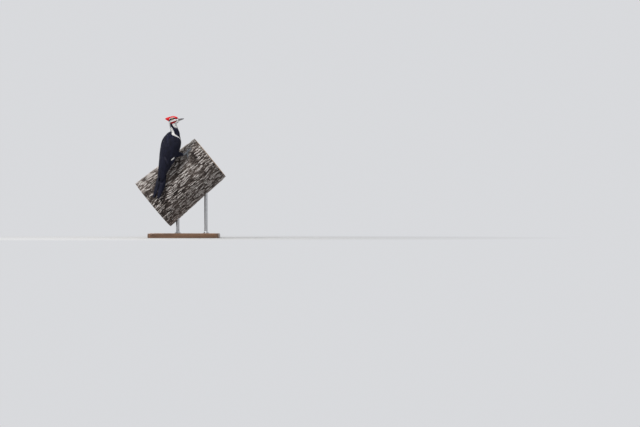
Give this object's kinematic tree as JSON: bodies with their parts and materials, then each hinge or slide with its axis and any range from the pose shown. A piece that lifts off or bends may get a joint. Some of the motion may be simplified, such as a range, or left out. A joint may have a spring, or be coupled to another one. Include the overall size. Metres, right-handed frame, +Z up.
{
  "type": "pileated woodpecker model",
  "caption": "Still life-size pileated woodpecker with a red crest, clinging to a cut length of sloping limb and looking over its shoulder, on a flat base with short rods.",
  "frame": {"origin": "centre of the stand base's underside, on the surface that the model stands on", "axes": "+Z up, -Y towards the bird's back and the viewer, +X the way the limb rises and the bill points"},
  "size_m": [0.4337, 0.3347, 0.5794],
  "materials": {
    "plumage": "satin black feathers with white stripes, face and wing patch",
    "crest": "soft red feathers",
    "horn": "satin slate-grey horn",
    "eye": "glossy eye with a yellow iris",
    "foot_skin": "matt scaly grey skin",
    "bark": "rough furrowed live oak bark with pale lichen",
    "stand_wood": "satin dark walnut",
    "stand_steel": "brushed"
  },
  "bodies": {
    "root": {"head": "plumage", "crest": "crest", "neck": "plumage", "trunk": "plumage", "tail": "plumage", "wing_left": "plumage", "wing_right": "plumage", "thigh_left": "plumage", "thigh_right": "plumage", "bill_upper": "horn", "bill_lower": "horn", "eye_left": "eye", "eye_right": "eye", "tarsus_left": "foot_skin", "tarsus_right": "foot_skin", "perch_limb": "bark", "stand_base": "stand_wood", "stand_rod_low": "stand_steel", "stand_rod_high": "stand_steel", "toe_left_1": "foot_skin", "toe_left_2": "foot_skin", "toe_left_3": "foot_skin", "toe_left_4": "foot_skin", "toe_right_1": "foot_skin", "toe_right_2": "foot_skin", "toe_right_3": "foot_skin", "toe_right_4": "foot_skin", "claw_left_1": "horn", "claw_left_2": "horn", "claw_left_3": "horn", "claw_left_4": "horn", "claw_right_1": "horn", "claw_right_2": "horn", "claw_right_3": "horn", "claw_right_4": "horn"}
  },
  "joints": []
}
